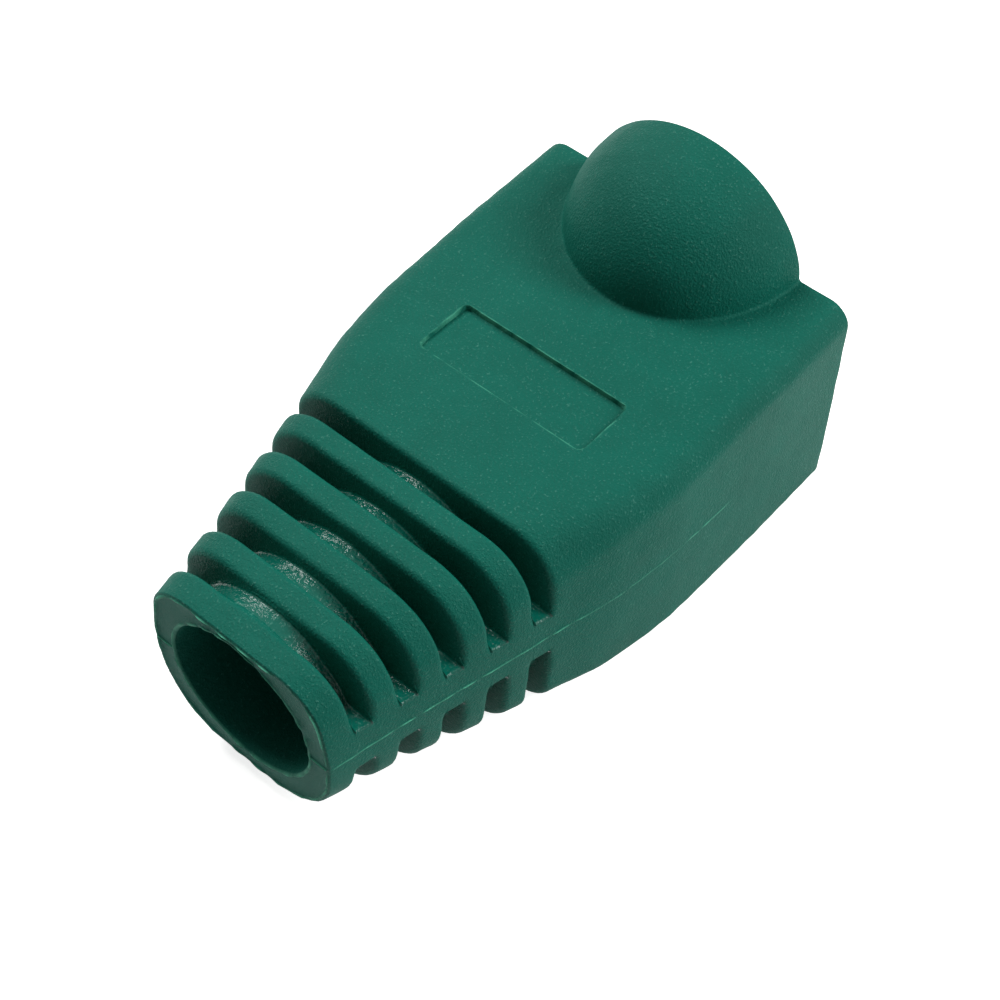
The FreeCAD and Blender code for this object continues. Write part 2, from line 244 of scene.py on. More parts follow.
def floor_band(half, bow, spine, edge, count, s):
    """Floor of a slot from the spine's edge to the middle plane: a quarter round over the
    spine's edge, the level ledge, a fillet that touches the ledge and the tube, and the
    tube's arc."""
    side = half - bow + np.sqrt(bow ** 2 - edge ** 2)
    inner = math.sqrt((s.tube_radius + s.tube_foot) ** 2 - (spine + s.tube_foot) ** 2)
    lean = math.atan2(spine + s.tube_foot, inner)
    rows = np.ones_like(half)
    lip = around(side - s.spine_round, edge, rows * s.spine_round,
                 stretch(0 * rows, math.pi / 2, LIP_NODES))
    ledge = flat_run(stretch(side - s.spine_round, inner, LEDGE_NODES), rows * spine)
    foot, away = around(rows * inner, spine + s.tube_foot, rows * s.tube_foot,
                        stretch(rows * 1.5 * math.pi, math.pi + lean, FOOT_NODES))
    rest = count - LIP_NODES - LEDGE_NODES - FOOT_NODES
    tube = around(0.0, 0.0, rows * s.tube_radius,
                  stretch(rows * lean, math.pi / 2, rest, last=True))
    return joined(lip, ledge, (foot, -away), tube)


def roof_spread(flat):
    """The roof's nodes at their own places on the body, and drawn together where the roof
    is narrower than the dome's border."""
    shrink = np.minimum(1.0, (flat - ROOF_MARGIN) / DOME_BORDER)
    return np.concatenate([flat[:, None], shrink[:, None] * ROOF_NODES], axis=1)


def sole_spread(flat):
    """The sole's nodes, evenly from its corner to the middle plane."""
    return stretch(flat, 0.0, SOLE_NODES, last=True)


def turned_under(band):
    """A band mirrored in the parting plane and taken the other way round."""
    return tuple((array * [1, -1])[:, ::-1] for array in band)


def closed_loop(half):
    """A half section from the sole to the roof, with its mirror image, as one closed loop."""
    mirror = (half * [-1, 1])[:, -2:0:-1]
    return np.concatenate([half, mirror], axis=1)


def sections(x, s):
    """Outer points, outward normals, slot floor points and their normals for each x. A half
    section runs from the sole up the side, over the spine with the flash, and on to the
    roof. Slots leave the spine standing, so the floor's points there are the skin's."""
    half, top, bottom, above, below, bow = carried(x)
    edge_up = s.spine_above - s.spine_round
    edge_down = s.spine_below - s.spine_round
    ridge = s.flash_width * np.array([-1.0, -0.5, 0.0, 0.5, 1.0])
    end_nodes = (SPINE_NODES - len(ridge)) // 2
    heights = np.concatenate([
        np.linspace(-edge_down, -2 * s.flash_width, end_nodes), ridge,
        np.linspace(2 * s.flash_width, edge_up, end_nodes, endpoint=False)])
    spine = around(half - bow, 0.0, bow, np.arcsin(heights / bow[:, None]))
    over = outer_band(half, top, above, bow, edge_up, roof_spread)
    under = outer_band(half, bottom, below, bow, edge_down, sole_spread)
    floor_over = floor_band(half, bow, s.spine_above, edge_up, over[0].shape[1], s)
    floor_under = floor_band(half, bow, s.spine_below, edge_down, under[0].shape[1], s)
    drop = [array[:, :-1] for array in turned_under(under)]
    drop_floor = [array[:, :-1] for array in turned_under(floor_under)]
    outer = joined(drop, spine, over)
    floor = joined(drop_floor, spine, floor_over)
    return [closed_loop(array) for array in (*outer, *floor)]


def skin_rows(s):
    """Where the outer skin's rows lie along the boot, and what each does: its place, how far
    it has gone down a slot's wall, its share of the rib's rounding, and its share of the
    fillet at the slot's foot."""
    turn = np.linspace(0, math.pi / 2, ARC_NODES)
    ones = np.ones_like(turn)
    lip = np.stack([s.rib_round * (np.sin(turn) - 1), 0 * ones, 1 - np.cos(turn), ones])
    ones = np.ones_like(WALL_DEPTHS)
    wall = np.stack([s.slot_draft * WALL_DEPTHS, WALL_DEPTHS, ones, ones])
    turn = turn[1:]
    ones = np.ones_like(turn)
    reach = s.slot_draft + s.slot_foot * (1 - np.cos(turn))
    foot = np.stack([reach, ones, ones, 1 - np.sin(turn)])
    middle = np.array([[s.slot_width / 2], [1], [1], [0]])
    down = np.concatenate([lip, wall, foot], axis=1)
    up = down[:, ::-1] * [[-1], [1], [1], [1]] + [[s.slot_width], [0], [0], [0]]
    slot = np.concatenate([down, middle, up], axis=1)
    rows = []
    rib_start = s.mouth_round
    for number in range(SLOT_COUNT):
        start = s.slot_first + number * s.slot_pitch
        rib = np.linspace(rib_start, start - s.rib_round, RIB_ROWS, endpoint=False)
        rows.append(plain_rows(rib))
        rows.append(slot + [[start], [0], [0], [0]])
        rib_start = start + s.slot_width + s.rib_round
    rows.append(plain_rows(body_places(rib_start, s)))
    return np.concatenate(rows, axis=1)


def plain_rows(places):
    """Rows that lie on the skin."""
    return np.stack([places, 0 * places, 0 * places, 0 * places])


def body_places(start, s):
    """Rows over the body: close together at both ends of the recess, and even between them,
    before them, behind them and over the dome."""
    near = s.recess_near + RECESS_STEPS
    far = (s.recess_far - RECESS_STEPS)[::-1]
    border = BOOT_LENGTH - s.dome_long - s.dome_fillet - DOME_MARGIN
    ends = (start, near[0]), (near[-1], far[0]), (far[-1], border)
    before, between, behind = (np.linspace(*pair, rows + 2)[1:-1]
                               for pair, rows in zip(ends, BODY_ROWS))
    over_dome = np.linspace(border, BOOT_LENGTH - s.mouth_round, DOME_ROWS)
    return np.concatenate([before, near, between, far, behind, over_dome])


def outer_grid(s):
    """The outer skin as rows of closed loops. A row on a rib lies on the skin. Over the rib's
    edge it leaves along a quarter circle, down the wall it runs straight from the skin to
    the slot's floor, and a quarter circle takes it into the floor. Where the slot is
    shallow, both circles shrink with its depth, the lower one with its depth along the
    floor's normal. Besides the points, it returns each node's share of the paler green,
    which is the thin flash's own colour and a painted highlight along the recess's edge,
    and how far the node has gone down a slot."""
    x, down, lip, foot = skin_rows(s)
    skin, outward, floor, upward = sections(x, s)
    depth = np.linalg.norm(skin - floor, axis=-1, keepdims=True)
    rib_round = np.minimum(s.rib_round, ROUND_SHARE * depth)
    climb = ((skin - floor) * upward).sum(axis=-1, keepdims=True)
    slot_foot = np.clip(ROUND_SHARE * climb, 0, s.slot_foot)
    thin = flash(x, skin, s)
    ridge = outward * s.flash_height * thin[..., None]
    skin = skin + ridge
    floor = floor + ridge
    lip, foot, down = (array[:, None, None] for array in (lip, foot, down))
    top = skin - outward * rib_round * lip
    base = floor + upward * slot_foot * foot
    loops = top + (base - top) * down
    places = np.broadcast_to(x[:, None, None], loops.shape[:2] + (1,))
    points = np.concatenate([places, loops], axis=-1)
    sunk, edge = recess_shares(points, s)
    points[..., 2] -= sunk * (points[..., 2] - s.recess_floor)
    # The recess's edge adds a pale line of painted highlight to the flash's share
    thin = np.maximum(thin, edge)
    return points, thin, (down * np.minimum(1.0, depth / SHALLOW))[..., 0]


def uneven(place, waves, seed):
    """A share between nought and one that comes and goes along a place: the mean of a few
    sine waves, whose wave numbers and starts are drawn, stretched and cut off at both ends."""
    draw = np.random.default_rng(seed)
    waves = draw.integers(*waves, UNEVEN_WAVES)
    starts = draw.uniform(0, 2 * math.pi, UNEVEN_WAVES)
    sway = np.sin(place[:, None] * waves + starts).mean(axis=1)
    return np.clip(UNEVEN_MIDDLE + UNEVEN_SWING * sway, 0, 1)


# Number of sine waves, the share that they swing about, and how far their mean is stretched
UNEVEN_WAVES, UNEVEN_MIDDLE, UNEVEN_SWING = 6, 0.6, 1.4

# The range of wave numbers and the seed of what comes and goes: in radians a millimetre along
# the flash and round the recess's painted edge highlight, and in waves a turn round the two
# edges of a mouth, where the burrs carry painted highlight
FLASH_WAVES, FLASH_SEED = (1, 9), 7
HIGHLIGHT_WAVES, HIGHLIGHT_SEED = (4, 40), 5
BURR_WAVES, OUTER_BURR_SEED, INNER_BURR_SEED = (3, 30), 3, 4


def flash(x, skin, s):
    """Share of the flash's full height at each node: a low ridge on the parting plane that
    comes and goes along the boot."""
    height = uneven(x, FLASH_WAVES, FLASH_SEED) * np.interp(x, *FLASH_SHARE)
    return height[:, None] * seam(skin[..., 1], s)


def seam(z, s):
    """One on the parting plane, falling to nought at the flash's edges."""
    return np.clip(1 - np.abs(z) / s.flash_width, 0, 1)


# Places along the boot, in millimetres, and the most of the flash's height that stands there
FLASH_SHARE = ((0.1, 0.6, 9.5, 11.0, 14.0, 15.4, 16.0, 17.6, 18.2),
               (0.0, 1.0, 1.0, 0.4, 0.4, 0.1, 0.8, 0.8, 0.0))


def recess_shares(points, s):
    """How far the roof has sunk towards the recess's level floor: all the way inside a
    rectangle with round corners, and along a smooth step over its sloping wall. And how
    much painted highlight the roof gets at that rectangle's edge, as a pale line that comes
    and goes round it."""
    x, y, z = np.moveaxis(points, -1, 0)
    middle = (s.recess_near + s.recess_far) / 2
    half = (s.recess_far - s.recess_near) / 2
    reach_x = np.abs(x - middle) - half + s.recess_corner
    reach_y = np.abs(y) - s.recess_side + s.recess_corner
    outside = (np.hypot(np.maximum(reach_x, 0), np.maximum(reach_y, 0))
               + np.minimum(np.maximum(reach_x, reach_y), 0))
    inside = s.recess_corner - outside
    share = np.clip(inside / s.recess_wall, 0, 1)
    # A pale line of painted highlight that comes and goes round the recess's edge
    highlight = uneven((x + y).reshape(-1), HIGHLIGHT_WAVES, HIGHLIGHT_SEED).reshape(x.shape)
    highlight = np.clip(1 - np.abs(inside) / RECESS_EDGE, 0, 1) * highlight
    on_roof = z > s.recess_floor
    sunk = np.where(on_roof, share ** 2 * (3 - 2 * share), 0)
    return sunk, np.where(on_roof, RECESS_HIGHLIGHT * highlight, 0)


# Half the width of the painted highlight along the recess's edge in millimetres, and how
# pale it is as a share of full flash
RECESS_EDGE = 0.05
RECESS_HIGHLIGHT = 0.45


def rectangle_loop(half, top, bottom, corner, border):
    """A rectangle with round corners that has one node for each node of an outer section, on
    the stretch that answers it: sole, lower corner, side, upper corner and ceiling. The nodes
    of the dome's border come to lie at border."""
    quarter = math.pi / 2
    flat = half - corner
    sole = flat_run(np.linspace(0, flat, SOLE_NODES)[None], -bottom)[0]
    turn = np.linspace(0, quarter, CORNER_NODES + 1)[None]
    under = around(flat, corner - bottom, corner, turn[:, 1:] - quarter)[0]
    height = np.linspace(corner - bottom, top - corner, SPINE_NODES + 2 * SIDE_NODES + 1)[1:-1]
    side = np.stack([np.full_like(height, half), height], axis=-1)[None]
    over = around(flat, top - corner, corner, turn[:, :-1])[0]
    ceiling = flat_run(np.append(flat, ROOF_NODES * border / DOME_BORDER)[None], top)[0]
    return closed_loop(np.concatenate([sole, under, side, over, ceiling], axis=1))[0]


def inner_grid(outer, s):
    """The hollow as rows of closed loops: the round bore, the funnel that opens from a circle
    to a low rectangle, the step at the socket's end, and the socket."""
    neck = outer[0]
    angle = np.arctan2(neck[:, 2], neck[:, 1])
    circle = BORE_RADIUS * np.stack([np.cos(angle), np.sin(angle)], axis=-1)
    border = s.dome_wide - s.dome_wall + s.room_edge + DOME_MARGIN
    funnel = rectangle_loop(s.funnel_side, BORE_RADIUS, BORE_RADIUS, s.funnel_corner,
                            FUNNEL_SPREAD * border)
    socket = rectangle_loop(s.socket_side, s.socket_top, s.socket_bottom, s.socket_corner, border)
    room = BOOT_LENGTH - s.dome_long + s.dome_wall - s.room_edge - DOME_MARGIN
    mouth = BOOT_LENGTH - s.mouth_round
    start = s.socket_end - s.funnel_length
    stack = [(place, circle) for place in np.linspace(s.mouth_round, start, BORE_ROWS)]
    stack += [(start + share * s.funnel_length, circle + (funnel - circle) * share)
              for share in np.linspace(0, 1, FUNNEL_ROWS)[1:]]
    stack += [(s.socket_end, funnel + (socket - funnel) * share) for share in STEP_SHARES]
    stack += [(place, socket) for place in np.linspace(s.socket_end, room, SOCKET_ROWS)[1:-1]]
    stack += [(place, socket) for place in np.linspace(room, mouth, DOME_ROWS)]
    loops = [np.column_stack([np.full(len(loop), place), loop]) for place, loop in stack]
    return np.array(loops)


# Numbers of rows along the bore, the funnel and the socket, where the rows of the step at the
# socket's end lie as shares of it, and how wide the dome's border is drawn on the funnel as a
# share of its width on the socket
BORE_ROWS, FUNNEL_ROWS, SOCKET_ROWS = 8, 8, 10
STEP_SHARES = (0.05, 0.5, 0.95, 1.0)
FUNNEL_SPREAD = 0.7


def half_egg(border, long, wide, tall, ground, fillet, s):
    """Half an egg standing on the ground, with one column of nodes for each node of the border
    round it. In the upright plane of a column the egg is an ellipse. Its arc runs from the
    top down to where a circle of the fillet's radius touches both the ellipse and the
    ground, then follows that circle, and runs over the ground to the border. Where they
    touch is found by a few rounds of putting the ellipse's slope back into the formula."""
    centre = BOOT_LENGTH - s.mouth_round
    middle = DOME_TOP - s.dome_tall
    away = centre - border[:, 0]
    across = border[:, 1]
    azimuth = np.arctan2(across, away)
    reach = 1 / np.hypot(np.cos(azimuth) / long, np.sin(azimuth) / wide)
    level = ground(centre - (reach + fillet) * np.cos(azimuth))
    turn = np.zeros_like(reach)
    for _ in range(FOOT_STEPS):
        lean = np.stack([np.cos(turn) / reach, np.sin(turn) / tall])
        lean = lean / np.linalg.norm(lean, axis=0)
        turn = np.arcsin((level + fillet - middle - fillet * lean[1]) / tall)
    share = np.linspace(0, 1, EGG_ROWS)[:, None]
    sweep = math.pi / 2 + (turn - math.pi / 2) * share
    egg = reach * np.cos(sweep), middle + tall * np.sin(sweep)
    share = np.linspace(0, 1, FILLET_ROWS)[1:, None]
    facing = math.pi + np.arctan2(lean[1], lean[0])
    sweep = facing + (1.5 * math.pi - facing) * share
    foot_reach = reach * np.cos(turn) + fillet * lean[0]
    foot = foot_reach + fillet * np.cos(sweep), level + fillet + fillet * np.sin(sweep)
    share = np.linspace(0, 1, SKIRT_ROWS)[1:, None]
    skirt = (foot_reach + (np.hypot(away, across) - foot_reach) * share,
             level + (border[:, 2] - level) * share)
    out, up = (np.concatenate(parts) for parts in zip(egg, foot, skirt))
    return np.stack([centre - out * np.cos(azimuth), out * np.sin(azimuth), up], axis=-1)


# Rounds that settle where the fillet touches the egg
FOOT_STEPS = 6


def rim(outer, inner, x, direction, burr, s):
    """The flat end face between two loops, with quarter rounds at its outer and inner edges.
    A thin burr comes and goes along both edges, up to the given share of its full height,
    and crosses the neck mouth's face on the parting plane. Each node of the outer loop has
    its partner on the inner one."""
    turn = np.linspace(0, math.pi / 2, ARC_NODES)[:, None]
    inset = s.mouth_round * (1 - np.cos(turn))[..., None]
    first = outer[None, :, 1:] - outward(outer)[None] * inset
    last = inner[None, :, 1:] + outward(inner)[None] * inset
    face = first[-1:] + (last[-1:] - first[-1:]) * FACE_SHARES[..., None]
    loops = np.concatenate([first, face, last[::-1]])
    angle = np.arctan2(outer[:, 2], outer[:, 1])
    fade = 1 - np.linspace(0, 1, ARC_NODES)[:, None]
    # The burrs' paler green is painted highlight where the mouths' edges catch the light; on the
    # neck mouth's face it also takes in the thin flash
    thin = np.zeros(loops.shape[:2])
    thin[ARC_NODES - 1:ARC_NODES + 1] = uneven(angle, BURR_WAVES, OUTER_BURR_SEED)
    thin[-ARC_NODES:] = uneven(angle, BURR_WAVES, INNER_BURR_SEED) * fade
    if direction < 0:
        on_face = thin[ARC_NODES:-ARC_NODES]
        on_face[:] = np.maximum(on_face, seam(outer[:, 2], s))
    tip = burr * s.burr_height
    swell = np.concatenate([np.sin(turn), np.ones_like(FACE_SHARES), np.sin(turn)[::-1]])
    places = x + direction * ((s.mouth_round - tip) * swell + tip * thin)
    return np.concatenate([places[..., None], loops], axis=-1), burr * thin


# Where the rows of an end face lie, as shares of the way in, and the share of a burr's full
# height, and of the painted highlight along it, that each mouth has
FACE_SHARES = np.array([0.04, 0.1, 0.5, 0.94])[:, None]
NECK_BURR, PLUG_BURR = 1.0, 0.45


def outward(loop):
    """Unit vectors across a closed loop, away from what it encloses: at each node, a quarter
    turn from the mean of the directions of its two runs."""
    runs = np.roll(loop[:, 1:], -1, axis=0) - loop[:, 1:]
    area = (loop[:, 1] * np.roll(loop[:, 2], -1) - loop[:, 2] * np.roll(loop[:, 1], -1)).sum()
    runs = runs / np.linalg.norm(runs, axis=1, keepdims=True)
    mean = runs + np.roll(runs, 1, axis=0)
    normal = np.stack([mean[:, 1], -mean[:, 0]], axis=-1) * np.sign(area)
    return normal / np.linalg.norm(normal, axis=1, keepdims=True)


def with_dome(grid, wall, ground, fillet, s):
    """Parts a grid of closed loops at the dome: the rows before it, the rows beside it, the
    dome itself, which lies a wall's thickness inside its own sizes, and the closed loop that
    the whole surface ends in at the plug mouth."""
    left, right = DOME_LEFT, DOME_RIGHT
    before = grid[:-DOME_ROWS + 1]
    beside = np.concatenate([grid[-DOME_ROWS:, right:], grid[-DOME_ROWS:, :left + 1]], axis=1)
    border = np.concatenate([grid[:-DOME_ROWS:-1, left], grid[-DOME_ROWS, left:right + 1],
                             grid[-DOME_ROWS + 1:, right]])
    dome = half_egg(border, s.dome_long - wall, s.dome_wide - wall, s.dome_tall - wall,
                    ground, fillet, s)
    mouth = np.concatenate([grid[-1, right:], grid[-1, :left + 1],
                            dome[-2::-1, 0], dome[1:-1, -1]])
    return before, beside, dome, mouth


def boot_surfaces(s):
    """Every surface of the boot as a grid of nodes, whether its columns close round, each
    node's share of the paler green of thin flash and painted highlight, and how far each
    node lies down a slot."""
    outer, thin, slot = outer_grid(s)
    inner = inner_grid(outer, s)
    before, beside, dome, mouth = with_dome(
        outer, 0.0, lambda x: carried(x)[1], s.dome_fillet, s)
    hollow, along, room, opening = with_dome(
        inner, s.dome_wall, lambda x: np.full_like(x, s.socket_top), s.room_edge, s)
    neck, neck_thin_and_lit = rim(outer[0], inner[0], s.mouth_round, -1, NECK_BURR, s)
    front, front_thin_and_lit = rim(mouth, opening, BOOT_LENGTH - s.mouth_round, 1, PLUG_BURR, s)
    rows = len(before)
    return [
        (before, True, thin[:rows], slot[:rows]),
        (neck, True, neck_thin_and_lit, 0),
        (front, True, front_thin_and_lit, 0),
        (hollow, True, 0, 0),
        (beside, False, 0, 0),
        (dome, False, 0, 0),
        (along, False, 0, 0),
        (room, False, 0, 0),
    ]


def quads(rows, columns, first, closed):
    """Corner numbers of a grid's four-sided faces."""
    number = first + np.arange(rows * columns).reshape(rows, columns)
    if closed:
        number = np.concatenate([number, number[:, :1]], axis=1)
    corners = number[:-1, :-1], number[:-1, 1:], number[1:, 1:], number[1:, :-1]
    return np.stack(corners, axis=-1).reshape(-1, 4)


def written(name, surfaces):
    """One mesh of all the grids, moved into the CAD frame, with its seams and poles closed.
    Faces that lie wholly on a slot's floor get the second material."""
    points, faces, thin_and_lit_shares, slots = [], [], [], []
    count = 0
    for grid, closed, thin, slot in surfaces:
        rows, columns = grid.shape[:2]
        points.append(grid.reshape(-1, 3))
        faces.append(quads(rows, columns, count, closed))
        thin_and_lit_shares.append(np.broadcast_to(thin, (rows, columns)).reshape(-1))
        slots.append(np.broadcast_to(slot, (rows, columns)).reshape(-1))
        count += rows * columns
    points = np.concatenate(points)
    places = (points + waviness(points) + [-BOOT_LENGTH / 2, 0, PARTING_HEIGHT]) * MM
    faces = np.concatenate(faces)
    mesh = bpy.data.meshes.new(name)
    mesh.from_pydata(places, [], faces)
    on_floor = np.concatenate(slots)[faces].min(axis=1) > SLOT_FLOOR
    mesh.polygons.foreach_set("material_index", on_floor.astype(np.int32))
    # Each node's share of paler green: the thin flash's own colour, and painted highlight on edges
    layer = mesh.attributes.new("thin", "FLOAT", "POINT")
    layer.data.foreach_set("value", np.concatenate(thin_and_lit_shares).astype(np.float32))
    work = bmesh.new()
    work.from_mesh(mesh)
    bmesh.ops.remove_doubles(work, verts=work.verts, dist=MERGE)
    bmesh.ops.recalc_face_normals(work, faces=work.faces)
    open_edges = sum(not edge.is_manifold for edge in work.edges)
    work.to_mesh(mesh)
    work.free()
    if open_edges:
        raise RuntimeError(f"{name} has {open_edges} open edges")
    mesh.shade_smooth()
    mesh.set_sharp_from_angle(angle=SHARP)
    return mesh


def waviness(points):
    """Small shifts across and up, because a soft moulding is never quite true. Each is the
    mean of sine waves that run in drawn directions through space, so surfaces that meet stay
    together. The shift up fades to nought at the underside and at the dome's top."""
    draw = np.random.default_rng(WAVE_SEED)
    waves = draw.normal(0, 1, (3, WAVES))
    waves *= draw.uniform(*WAVE_RANGE, WAVES) / np.linalg.norm(waves, axis=0)
    phase = points @ waves
    shift = np.zeros_like(points)
    shift[:, 1] = np.sin(phase + draw.uniform(0, 2 * math.pi, WAVES)).mean(axis=1)
    shift[:, 2] = np.sin(phase + draw.uniform(0, 2 * math.pi, WAVES)).mean(axis=1)
    middle = (DOME_TOP - PARTING_HEIGHT) / 2
    shift[:, 2] *= 1 - ((points[:, 2] - middle) / (DOME_TOP - middle)) ** WAVE_FADE
    return WAVE_HEIGHT * shift


# Number of waves, their seed, their lowest and highest wave number in radians a millimetre,
# the height in millimetres that they would reach if all of them rose together, and the power
# that keeps them full in height until close to the underside and the dome's top
WAVES, WAVE_SEED = 14, 11
WAVE_RANGE = (1.5, 9.0)
WAVE_HEIGHT = 0.035
WAVE_FADE = 6

# How far down a slot a face lies to count as its floor, and the depth in millimetres under
# which a slot is too shallow to have one
SLOT_FLOOR = 0.97
SHALLOW = 0.05

# Nodes closer than this are one, and edges that turn by more than this are sharp
MERGE = 0.0001 * MM
SHARP = math.radians(50)


def linear(hex_colour):
    """Linear red, green and blue of an sRGB hex colour by the sRGB formula, with full alpha."""
    parts = [int(hex_colour[place:place + 2], 16) / 255 for place in (1, 3, 5)]
    return (*[part / 12.92 if part <= 0.04045 else ((part + 0.055) / 1.055) ** 2.4
              for part in parts], 1.0)


def colour(name, description, hex_colour):
    """A colour property that is given here as sRGB hex and kept as linear values."""
    return FloatVectorProperty(name=name, description=description, default=linear(hex_colour),
                               size=4, min=0.0, max=1.0, subtype="COLOR")


class BootColours(bpy.types.PropertyGroup):
    """Colours of the moulding."""

    pvc: colour("PVC", "Body colour of the soft PVC", "#0a6b5b")
    # The specks are painted glints: pale colour on the grain's tips where they would catch the
    # light
    speck: colour("Specks", "Pale specks where the grain's tips catch the light", "#66a898")
    deep: colour("Cloudy patches", "Slightly darker clouds in the colour", "#065345")
    # Paler green, partly the thin flash's own colour and partly painted highlight on the burrs, the
    # mouths' rims and the recess's edge
    thin: colour("Thin flash", "Brighter green of flash and burrs, which let light through",
                 "#6ed6b2")


def node(tree, kind, inputs=None, **settings):
    """One node of a tree. settings are its own properties. inputs gives each socket, by name or
    number, its value or the socket that feeds it."""
    new = tree.nodes.new(kind)
    for name, value in settings.items():
        setattr(new, name, value)
    for name, value in (inputs or {}).items():
        if isinstance(value, bpy.types.NodeSocket):
            tree.links.new(value, new.inputs[name])
        else:
            new.inputs[name].default_value = value
    return new


def per_metre(size_mm):
    """Texture scale for a pattern whose features are about this size."""
    return 1 / (size_mm * MM)


def soft_pvc(name, roughness, sheen, grain_mm, grain_depth):
    """Soft PVC, injection moulded: green with faint clouds, paler where the flash is thin and
    where a painted highlight lies on burrs, mouths' rims and the recess's edge, and a relief
    of rounded pits whose tips carry painted glints as pale specks, on a surface that is never
    quite flat. sheen is the level of its mirror reflection."""
    colours = bpy.context.scene.boot_colours
    material = bpy.data.materials.new(name)
    material.use_nodes = True
    tree = material.node_tree
    tree.nodes.clear()
    place = node(tree, "ShaderNodeTexCoord").outputs["Object"]
    thin = node(tree, "ShaderNodeAttribute", attribute_name="thin").outputs["Fac"]
    clouds = node(tree, "ShaderNodeTexNoise", {
        "Vector": place, "Scale": per_metre(CLOUD_MM), "Detail": 6.0, "Roughness": 0.7})
    grain = node(tree, "ShaderNodeTexNoise", {
        "Vector": place, "Scale": per_metre(grain_mm), "Detail": 2.0, "Roughness": 0.6})
    sag = node(tree, "ShaderNodeTexNoise", {
        "Vector": place, "Scale": per_metre(SAG_MM), "Detail": 1.0})
    base = node(tree, "ShaderNodeMix", {
        "Factor": clouds.outputs["Fac"], "A": tuple(colours.pvc), "B": tuple(colours.deep)},
        data_type="RGBA")
    # Painted glints: the grain's tips turn pale, as if they caught the light
    tips = node(tree, "ShaderNodeMapRange", {
        "Value": grain.outputs["Fac"], "From Min": GLINT_START, "From Max": GLINT_END,
        "To Max": GLINT_SHARE})
    glint_painted = node(tree, "ShaderNodeMix", {
        "Factor": tips.outputs["Result"], "A": base.outputs["Result"], "B": tuple(colours.speck)},
        data_type="RGBA")
    # Paler green of the thin flash, and painted highlight on burrs, mouths' rims and the recess's
    # edge
    pale_flash_and_highlight = node(tree, "ShaderNodeMix", {
        "Factor": thin, "A": glint_painted.outputs["Result"], "B": tuple(colours.thin)},
        data_type="RGBA")
    wavy = node(tree, "ShaderNodeBump", {
        "Height": sag.outputs["Fac"], "Strength": 1.0, "Distance": SAG_DEPTH})
    relief = node(tree, "ShaderNodeBump", {
        "Height": grain.outputs["Fac"], "Strength": 1.0, "Distance": grain_depth,
        "Normal": wavy.outputs["Normal"]})
    shader = node(tree, "ShaderNodeBsdfPrincipled", {
        "Base Color": pale_flash_and_highlight.outputs["Result"], "Roughness": roughness, "IOR": 1.5,
        "Specular IOR Level": sheen, "Normal": relief.outputs["Normal"]})
    node(tree, "ShaderNodeOutputMaterial", {"Surface": shader.outputs["BSDF"]})
    return material


# Size of the colour's clouds, and size and depth of the sags in the surface
CLOUD_MM = 4.0
SAG_MM = 1.5
SAG_DEPTH = 0.04 * MM

# Height of the grain where a painted glint starts and where it is palest, and how pale that is
GLINT_START, GLINT_END = 0.6, 0.75
GLINT_SHARE = 0.35


class BOOT_OT_moulding(bpy.types.Operator):
    """Builds the moulding: its skin with slots, recess and dome, and its hollow."""

    bl_idname = "boot.moulding"
    bl_label = "Moulding"

    def execute(self, context):
        mesh = written("boot_skin", boot_surfaces(sizes_in_mm()))
        # The skin comes from a spark-eroded tool: matt, with a fine grain that is drawn at
        # the coarsest size that the photograph shows. The slots' floors come from worn steel
        # inserts: glossier and coarser, so they glint.
        mesh.materials.append(soft_pvc(
            "soft_pvc_spark_eroded", roughness=0.6, sheen=0.12, grain_mm=0.09,
            grain_depth=0.05 * MM))
        mesh.materials.append(soft_pvc(
            "soft_pvc_worn_insert", roughness=0.16, sheen=0.22, grain_mm=0.18,
            grain_depth=0.05 * MM))
        skin = bpy.data.objects.new("boot_skin", mesh)
        context.scene.collection.objects.link(skin)
        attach(skin, "root")
        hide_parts(NODE)
        return {"FINISHED"}


# The camera's place and the point that it looks at, in millimetres in the CAD frame, found by
# fitting the boot's own edges to the photograph
CAMERA_PLACE = Vector((-34.22, -29.59, 60.91))
CAMERA_AIM = Vector((0.10, -0.87, PARTING_HEIGHT + 0.03))
CAMERA_ROLL = math.radians(-1.39)
CAMERA_LENS = 70.76
CAMERA_SENSOR = 36.0


def camera(scene):
    """The camera looks from its place to its aim, upright but for its roll about that line."""
    data = bpy.data.cameras.new("camera")
    data.lens = CAMERA_LENS
    data.sensor_width = CAMERA_SENSOR
    data.clip_start = 1 * MM
    data.clip_end = 10.0
    new = bpy.data.objects.new("camera", data)
    look = (CAMERA_AIM - CAMERA_PLACE).to_track_quat("-Z", "Y").to_matrix()
    turn = look @ Matrix.Rotation(-CAMERA_ROLL, 3, "Z")
    new.matrix_world = Matrix.Translation(CAMERA_PLACE * MM) @ turn.to_4x4()
    scene.collection.objects.link(new)
    scene.camera = new


# Place and size in metres and power in watts of each lamp, and the point that all of them
# face. The key stands on the boot's far side, so the slots' floors glint. The fill stands on
# the near side and softens the shadows, and the low side lamp lights the near flank.
LAMPS = {
    "key": ((0.02, 0.185, 0.235), 0.12, 0.66),
    "fill": ((0.134, -0.173, 0.201), 0.12, 0.48),
    "side": ((0.11, -0.25, 0.11), 0.08, 0.22),
}
LAMP_AIM = Vector((0, 0, 0.005))


def lamp(scene, name, place, size, power):
    """A square soft lamp that faces the boot."""
    data = bpy.data.lights.new(name, "AREA")
    data.shape = "SQUARE"
    data.size = size
    data.energy = power
    new = bpy.data.objects.new(name, data)
    new.location = place
    new.rotation_euler = (LAMP_AIM - Vector(place)).to_track_quat("-Z", "Y").to_euler()
    scene.collection.objects.link(new)


